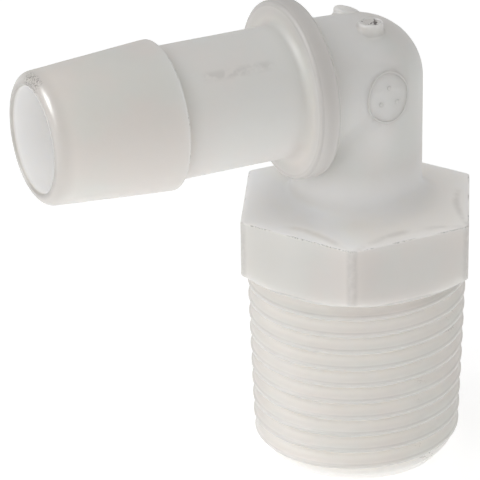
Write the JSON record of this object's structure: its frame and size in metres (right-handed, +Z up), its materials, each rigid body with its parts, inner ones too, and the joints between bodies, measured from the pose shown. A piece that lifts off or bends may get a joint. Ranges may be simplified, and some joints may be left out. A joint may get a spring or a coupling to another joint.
{
  "type": "elbow hose fitting",
  "caption": "Right-angle hose fitting in translucent natural plastic: a barbed hose tail with a stop collar, a wrench hexagon and a male taper pipe thread.",
  "frame": {"origin": "centre of the pipe thread's open end", "axes": "+Z up the thread's axis towards the elbow, -X along the hose tail towards its mouth, -Y towards the cheek with the cavity mark"},
  "size_m": [0.046, 0.0218, 0.0478],
  "materials": {
    "natural_plastic": "translucent natural, satin as moulded"
  },
  "bodies": {
    "root": {"hose_barb": "natural_plastic", "hose_stem": "natural_plastic", "stop_collar": "natural_plastic", "elbow_body": "natural_plastic", "wrench_hex": "natural_plastic", "pipe_thread": "natural_plastic", "gate_pad_front": "natural_plastic", "gate_pad_back": "natural_plastic", "cavity_mark": "natural_plastic"}
  },
  "joints": []
}
